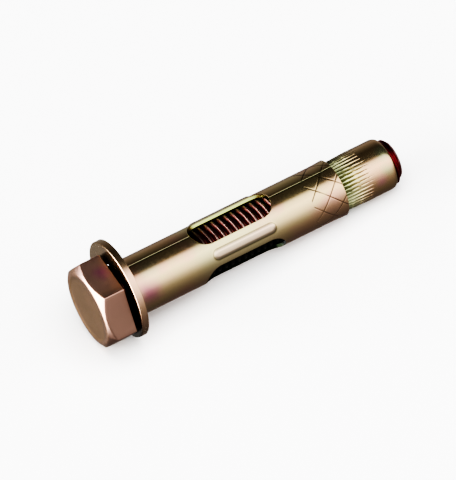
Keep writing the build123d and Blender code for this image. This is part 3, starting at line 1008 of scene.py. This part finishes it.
# Crossed grooves: shares of their width over which their film runs out, wear of the film as the
# noise's scale, where it sets in and its least and further cover, and their roughness and depth
LINE_SPAN = (0.15, 0.55)
WEAR_SCALE, WEAR_SPAN, WEAR_COVER = 260, (0.3, 0.55), (0.45, 0.55)
LINE_ROUGH, LINE_DEPTH = 0.15, 3.0
# Green film over the windows: where it sets in and runs out along the axis, the scales of the
# noise in those edges and its reach
FRESH_START, FRESH_END, FRESH_SCALES, FRESH_UNEVEN = mm(14, 20), mm(30, 38), (300, 350), 4 * MM
# Where films and painted shade set in: out from the seam for its painted shadow, up from the axis
# for the pink low side and the painted shade underneath, and along the axis beyond the ribs
SEAM_BAND, LOW_SIDE, UNDERSIDE = mm(0.12, 0.22), mm(-3.5, 3.5), mm(-1.5, -0.5)
RIB_END = mm(35.5, 36.5)
# Where films and painted light set in, out from the sleeve's radius: the rib with its painted
# highlight, its foot with its painted shade, and the cut edge and its rims, where painted shade
# lies near the outer rim and underneath
RIB_RISE, FOOT_RISE, FOOT_TOP = mm(0.06, 0.2), mm(0.01, 0.04), mm(0.06, 0.12)
CUT_EDGE, CUT_RIM, LIP_EDGE = mm(-0.14, -0.08), mm(-0.22, -0.12), mm(-0.07, -0.01)
STAIN_SPOT = spot(along=3.2, radius=5.92, degrees=-59.5, full=0.8, reach=4.8, uneven=1.6)
FRESH_SPOT = spot(along=5.0, radius=6.0, degrees=-12, full=1.2, reach=5.0, uneven=1.6)


def groove_lines(graph, sleeve, round_share, down, end):
    """1 along the crossed grooves, from the sheet's place as shares of a turn and of its length."""
    spacing = 1 / sleeve.diamond_count
    twist = sleeve.diamond_twist / 360 * end / MM
    crossing = 1 - sleeve.diamond_crossing / end
    start = (sleeve.diamond - sleeve.seam) / TURN
    slant = math.hypot(1, math.radians(sleeve.diamond_twist) / MM * sleeve.radius)
    to_metres = spacing * TURN * sleeve.radius / slant
    span = [share * sleeve.groove_width for share in LINE_SPAN]
    marks = []
    for hand in (-1, 1):
        phase = (round_share - start + (down - crossing) * (hand * twist)) / spacing
        marks.append(graph.fall(graph.maths("PINGPONG", phase, 0.5) * to_metres, span))
    band = graph.rise(down, (0, BAND_FADE / end), 1 - sleeve.diamond_length / end)
    return graph.maths("MAXIMUM", *marks) * band


def sleeve_finish(scene, end):
    """Gold and green film with a stain near the washer, dark grooves and green cut edges; painted
    shade on the far side, along the seam, round the ribs' foot and on the cut edges underneath, and
    a painted highlight on the ribs.
    """
    finish = scene.anchor_finish
    sleeve = scene.anchor_sleeve

    def engrave(graph, place, tone, rough, height):
        round_share, down, _ = graph.axes(graph.node("ShaderNodeUVMap", {"uv_map": "sheet"}))
        along, side, high, radius = graph.cylinder(place)
        wear = graph.rise(graph.noise(place, WEAR_SCALE), WEAR_SPAN)
        line = groove_lines(graph, sleeve, round_share, down, end)
        line = line * (WEAR_COVER[0] + wear * WEAR_COVER[1])
        start, stop = (along + graph.noise(place, scale) * FRESH_UNEVEN for scale in FRESH_SCALES)
        zone = graph.rise(start, FRESH_START) * graph.fall(stop, FRESH_END)
        fresh = graph.maths("MAXIMUM", zone, graph.near(place, *FRESH_SPOT))
        seam = graph.maths("MINIMUM", round_share, 1 - round_share) * (TURN * sleeve.radius)
        to_mouth = graph.fall(along, RIB_END)
        under = graph.fall(high, UNDERSIDE)
        rib, foot, rim = (
            graph.rise(radius, span, sleeve.radius) for span in (RIB_RISE, FOOT_RISE, CUT_RIM)
        )
        below_rib, inside, lip_shade = (
            graph.fall(radius, span, sleeve.radius) for span in (FOOT_TOP, CUT_EDGE, LIP_EDGE)
        )
        # Painted shade for the cut edges: near their outer rim, and all over them underneath
        dark = graph.maths("MAXIMUM", rim, under)
        tone = graph.lay(
            tone,
            (graph.near(place, *STAIN_SPOT) * 0.75, finish.stain),
            (line * 0.9, finish.groove),
            # Painted shade on the far side
            far_side_shade(graph, finish, place, side),
            (fresh * 0.6, finish.fresh),
            # Painted shadow along the seam's edges
            (graph.fall(seam, SEAM_BAND) * 0.9, finish.seam),
            (graph.fall(high, LOW_SIDE) * 0.55, finish.pink),
            # Painted highlight on the ribs
            (rib * to_mouth * 0.5, finish.rib),
            # Painted shade round the foot of the ribs
            (foot * below_rib * to_mouth * 0.5, finish.rib_foot_shade),
            (inside, finish.cut),
            # Painted shade on the cut edges
            (inside * dark * 0.92, finish.painted_shade),
            # Painted shade, nearly black, on the windows' lower edges
            (lip_shade * under * to_mouth, finish.lip_shade),
        )
        return tone, rough + line * LINE_ROUGH, height - line * LINE_DEPTH

    colours = (finish.gold, finish.green, finish.pink, finish.purple)
    weights, shift = (0.75, 0.7, 0.12), (0.0, 0.0, 0.0)
    return plating("plated_sleeve_finish", colours, weights, shift, roughness=0.2, extra=engrave)


# ---------------------------------------------------------------- cone nut

# Angles of the grid over one rib, as shares of the ribs' spacing: the gap's floor and flanks, and
# the rib's land
RIB_COLUMNS = np.array([-0.42, -0.32, -0.2, -0.08, 0.0, 0.08, 0.2, 0.32, 0.42, 0.5])
# Rows of the grid down the cone, down the cylinder and round the end, and rows in a pitch inside
CONE_ROWS, CYLINDER_ROWS, END_BENDS, BORE_ROWS = 36, 6, 9, 12
# From where the ribs end to the cylinder's first row
CYLINDER_START = 0.9 * MM
# Rounding of the gaps' edges, and of the edge round the nut's mouth
GAP_SOFT = 0.02 * MM
# How far the thread is cut back at the outer and at the small end, in countersinks
LEAD_OUT, LEAD_IN = 2, 1.4


def nut_columns(count):
    """Angles of the grid round the nut, ten for each rib."""
    return ((np.arange(count)[:, None] + RIB_COLUMNS) * (TURN / count)).ravel()


def nut_outer(nut, x, turn, radius):
    """Cone and cylinder, cut by V gaps with sides at 45 degrees that run out to nothing."""
    cone = nut.tip_radius + (x - NUT_BOX[0][0]) * math.tan(nut.half_angle)
    skin = soft_min(cone, radius, GAP_SOFT)
    pitch = TURN / nut.rib_count
    away = from_whole(turn / pitch) * pitch * radius
    faded = np.clip((x - nut.fade_start) / (nut.fade_end - nut.fade_start), 0, 1)
    return skin + soft_min(-np.maximum(nut.groove_depth * (1 - faded) - away, 0), 0, GAP_SOFT)


class ANCHOR_OT_nut(bpy.types.Operator):
    """Makes the cone nut with its ribs and the thread inside it."""

    bl_idname = "anchor.nut"
    bl_label = "Cone nut"

    def execute(self, context):
        nut = context.scene.anchor_nut
        bolt = context.scene.anchor_bolt
        start, end = NUT_BOX[0][0], NUT_BOX[1][0]
        rounding = end - nut.end_round_length
        turn = nut_columns(nut.rib_count)[None, :]
        level = np.ones_like(turn)
        cone = np.linspace(start, nut.fade_end, CONE_ROWS)
        cylinder = np.linspace(nut.fade_end + CYLINDER_START, rounding, CYLINDER_ROWS)
        straight = np.concatenate([cone, cylinder])[:, None]
        bend = np.linspace(0, math.pi / 2, END_BENDS)[1:, None]
        inside = np.arange(end - nut.countersink, start, -bolt.pitch / BORE_ROWS)[:, None]
        mouth = bolt.crest + nut.clearance
        lead_out = nut.countersink * LEAD_OUT - (end - inside)
        lead_in = nut.countersink * LEAD_IN - (inside - start)
        lead = bolt.root + nut.clearance + np.maximum(lead_out, lead_in)
        bore = np.maximum(thread_radius(inside, turn, bolt, nut.clearance), np.minimum(lead, mouth))
        blocks = (
            (straight, nut_outer(nut, straight, turn, NUT_RADIUS)),
            (
                rounding + nut.end_round_length * np.sin(bend),
                NUT_RADIUS - nut.end_round * (1 - np.cos(bend)),
            ),
            (end, (NUT_RADIUS + mouth - nut.end_round) / 2 * level),
            (end, (mouth + GAP_SOFT) * level),
            (inside, bore),
            (start, mouth * level),
        )
        x, radius = (np.concatenate([block[part] * level for block in blocks]) for part in (0, 1))
        points = round_axis(x, radius, turn)
        quads = loop_quads(len(x), turn.shape[1], close_rows=True)[:, ::-1]
        material = nut_finish(context.scene)
        piece = make_piece("plated_cone_nut", points, [quads], material)
        place_piece(piece, "cone_nut", "nut")
        return {"FINISHED"}


# Film over the ribs: how far past them it runs, and the scale and reach of the noise in its edge
RIBBED_PAST, RIBBED_SCALE, RIBBED_UNEVEN = 1 * MM, 500, 2 * MM
# Where the painted shade in the gaps sets in, as shares of their depth
GAP_SPAN = (-0.8, -0.25)
END_GREEN = spot(60.0, NUT_RADIUS / MM, degrees=-8, full=0.8, reach=3.0, uneven=1.2)
LOW_GREEN = spot(59.5, NUT_RADIUS / MM, degrees=-48, full=0.6, reach=2.6, uneven=1.2)
LOW_PINK = spot(57.6, NUT_RADIUS / MM, degrees=-66, full=0.6, reach=2.6, uneven=1.2)


def nut_finish(scene):
    """Gold film, pale green over the ribs, painted shade between them, and painted shade in brown
    on the far side.
    """
    finish = scene.anchor_finish
    nut = scene.anchor_nut
    gap_span = [share * nut.groove_depth for share in GAP_SPAN]

    def tint(graph, place, tone, rough, height):
        along, side, _, radius = graph.cylinder(place)
        uneven = along + graph.noise(place, RIBBED_SCALE) * RIBBED_UNEVEN
        ribbed = graph.fall(uneven, (nut.fade_start, nut.fade_end), RIBBED_PAST)
        tone = graph.lay(
            tone,
            (ribbed * 0.85, finish.ribbed),
            # Painted shade in the gaps between the ribs
            (graph.fall(radius, gap_span, NUT_RADIUS) * ribbed * 0.7, finish.painted_shade),
            (graph.near(place, *END_GREEN) * 0.7, finish.end_green),
            (graph.near(place, *LOW_GREEN) * 0.6, finish.low_green),
            (graph.near(place, *LOW_PINK) * 0.4, finish.magenta),
            # Painted shade on the far side
            far_side_shade(graph, finish, place, side),
            # Further painted shade on the far side
            (graph.rise(side, FAR_SIDE) * 0.5, finish.painted_shade),
        )
        return tone, rough, height

    colours = (finish.gold, finish.green, finish.pink, finish.copper)
    weights, shift = (0.6, 0.4, 0.2), (5.2, 1.4, 3.3)
    return plating("plated_nut_finish", colours, weights, shift, roughness=0.2, extra=tint)


# ---------------------------------------------------------------- stage

# Brightness of the studio against the angle round the axis, from +Z towards +Y, in degrees
STUDIO = (
    (-180, 0.07),
    (-150, 0.09),
    (-120, 0.14),
    (-95, 0.24),
    (-75, 0.50),
    (-60, 1.00),
    (-30, 1.60),
    (-6, 1.20),
    (5, 0.06),
    (55, 0.04),
    (72, 0.10),
    (100, 0.20),
    (150, 0.20),
    (180, 0.07),
)

# Direction of the lamp that the head's chamfer reflects, with the head's top flat upwards, and how
# far from it, on a sphere of radius 1, the lamp is full and reaches
HEAD_LAMP = Vector((-0.96, 0.14, -0.10))
HEAD_LAMP_REACH = (0.40, 0.66)

# Half the floor's side; the overhead lamp's side, its distance and turn from the anchor's middle
FLOOR_REACH = 6.0
OVERHEAD_SIDE, OVERHEAD_DISTANCE, OVERHEAD_TURN = 1.2, 1.2, math.radians(-10)
ANCHOR_MIDDLE = 28 * MM

FRAME_LONG_SIDE = 480
FRAME_SHORT_SIDE = 456
PIXELS_PER_METRE = 5037
ORIGIN_PIXEL = (123.0, 291.5)


def camera_axes(azimuth, elevation):
    """Directions to the right, up and back towards the camera."""
    level = Vector((math.sin(azimuth), -math.cos(azimuth), 0))
    back = level * math.cos(elevation) + Vector((0, 0, math.sin(elevation)))
    right = Vector((math.cos(azimuth), math.sin(azimuth), 0))
    rest = Matrix.Rotation(REST_TURN, 3, "X")
    return rest @ right, rest @ back.cross(right), rest @ back


def add_camera(stage):
    """Long lens, aimed so that the frame's origin falls on its pixel at the set scale."""
    right, up, back = camera_axes(stage.azimuth, stage.elevation)
    data = bpy.data.cameras.new("view")
    data.lens = stage.lens
    sight = FRAME_LONG_SIDE / PIXELS_PER_METRE
    aim = right * ((FRAME_SHORT_SIDE / 2 - ORIGIN_PIXEL[0]) / PIXELS_PER_METRE)
    aim += up * ((ORIGIN_PIXEL[1] - FRAME_LONG_SIDE / 2) / PIXELS_PER_METRE)
    camera = bpy.data.objects.new("view", data)
    camera.location = aim + back * (sight * stage.lens / data.sensor_width)
    camera.rotation_mode = "QUATERNION"
    camera.rotation_quaternion = Matrix((right, up, back)).transposed().to_quaternion()
    data.clip_start, data.clip_end = 0.05, 10
    bpy.context.scene.collection.objects.link(camera)
    bpy.context.scene.camera = camera


def add_overhead(stage):
    """Square lamp over the anchor, turned round its axis and hidden from camera and gloss."""
    data = bpy.data.lights.new("overhead", "AREA")
    data.size = OVERHEAD_SIDE
    data.energy = stage.overhead * math.pi * OVERHEAD_SIDE**2
    lamp = bpy.data.objects.new("overhead", data)
    middle = Matrix.Translation((ANCHOR_MIDDLE, 0, 0))
    turned = Matrix.Rotation(-OVERHEAD_TURN, 4, "X")
    lamp.matrix_world = middle @ turned @ Matrix.Translation((0, 0, OVERHEAD_DISTANCE))
    lamp.visible_camera = False
    lamp.visible_glossy = False
    bpy.context.scene.collection.objects.link(lamp)


def add_floor(stage, end_round):
    """Pale floor through the lowest points of washer and nut, on which the anchor would rest."""
    low = (WASHER_BOX[1][0], WASHER_BOX[0][2])
    high = (NUT_BOX[1][0] - end_round, NUT_BOX[0][2])
    slope = (high[1] - low[1]) / (high[0] - low[0])
    share = np.array([-1.0, 1.0]) * FLOOR_REACH
    x, y = np.meshgrid(share, share, indexing="ij")
    points = np.stack([x, y, low[1] + (x - low[0]) * slope], axis=-1).reshape(-1, 3)
    mesh = bpy.data.meshes.new("floor")
    mesh.from_pydata(points.tolist(), [], [(0, 2, 3, 1)])
    material = bpy.data.materials.new("pale_floor")
    material.use_nodes = True
    graph = Graph(material.node_tree)
    sockets = {"Base Color": (*stage.floor, 1), "Roughness": 0.9, "Specular IOR Level": 0.0}
    paint = graph.node("ShaderNodeBsdfPrincipled", None, sockets)
    graph.node("ShaderNodeOutputMaterial", None, {"Surface": paint})
    mesh.materials.append(material)
    floor = bpy.data.objects.new("floor", mesh)
    floor.visible_glossy = False
    bpy.context.scene.collection.objects.link(floor)


def add_world(stage):
    """Studio: a ring whose brightness changes round the axis, and a lamp before the head."""
    world = bpy.data.worlds.new("studio")
    bpy.context.scene.world = world
    world.use_nodes = True
    graph = Graph(world.node_tree)
    direction = graph.node("ShaderNodeTexCoord")
    _, side, high = graph.axes(direction)
    around = graph.maths("ARCTAN2", side, high) / TURN + (0.5 + REST_TURN / TURN)
    around = around - graph.maths("FLOOR", around)
    stops = [((degrees + 180) / 360, (level, level, level)) for degrees, level in STUDIO]
    ring = graph.node("ShaderNodeValToRGB", {"stops": stops}, {"Fac": around})
    towards = Matrix.Rotation(REST_TURN, 3, "X") @ HEAD_LAMP
    lamp = graph.near(direction, towards, HEAD_LAMP_REACH)
    level = graph.mix(lamp, ring, (stage.head_lamp,) * 3)
    light = graph.node("ShaderNodeBackground", None, {"Color": level, "Strength": stage.studio})
    graph.node("ShaderNodeOutputWorld", None, {"Surface": light})


class ANCHOR_OT_stage(bpy.types.Operator):
    """Sets the pale floor, the overhead lamp, the studio and the camera."""

    bl_idname = "anchor.stage"
    bl_label = "Stage"

    def execute(self, context):
        stage = context.scene.anchor_stage
        context.scene.view_settings.look = "AgX - Very High Contrast"
        context.scene.view_settings.exposure = 0.0
        add_camera(stage)
        add_floor(stage, context.scene.anchor_nut.end_round_length)
        add_world(stage)
        add_overhead(stage)
        return {"FINISHED"}


# ---------------------------------------------------------------- add-on


class ANCHOR_PT_tools(bpy.types.Panel):
    """Lists the pieces and the stage in the sidebar."""

    bl_idname = "ANCHOR_PT_tools"
    bl_label = "Sleeve anchor"
    bl_space_type = "VIEW_3D"
    bl_region_type = "UI"
    bl_category = "Anchor"

    def draw(self, context):
        for operator in OPERATORS:
            self.layout.operator(operator.bl_idname)


OPERATORS = (ANCHOR_OT_stage, ANCHOR_OT_bolt, ANCHOR_OT_washer, ANCHOR_OT_sleeve, ANCHOR_OT_nut)


def register():
    """Registers the classes and hangs the settings on the scene."""
    for kind in (*SETTINGS.values(), *OPERATORS, ANCHOR_PT_tools):
        bpy.utils.register_class(kind)
    for name, kind in SETTINGS.items():
        setattr(bpy.types.Scene, name, PointerProperty(type=kind))


def unregister():
    """Takes the settings and the classes away again."""
    for name in SETTINGS:
        delattr(bpy.types.Scene, name)
    for kind in reversed((*SETTINGS.values(), *OPERATORS, ANCHOR_PT_tools)):
        bpy.utils.unregister_class(kind)


def main():
    """Builds everything in order."""
    register()
    bpy.ops.anchor.stage()
    bpy.ops.anchor.bolt()
    bpy.ops.anchor.washer()
    bpy.ops.anchor.sleeve()
    bpy.ops.anchor.nut()


if __name__ == "__main__":
    main()
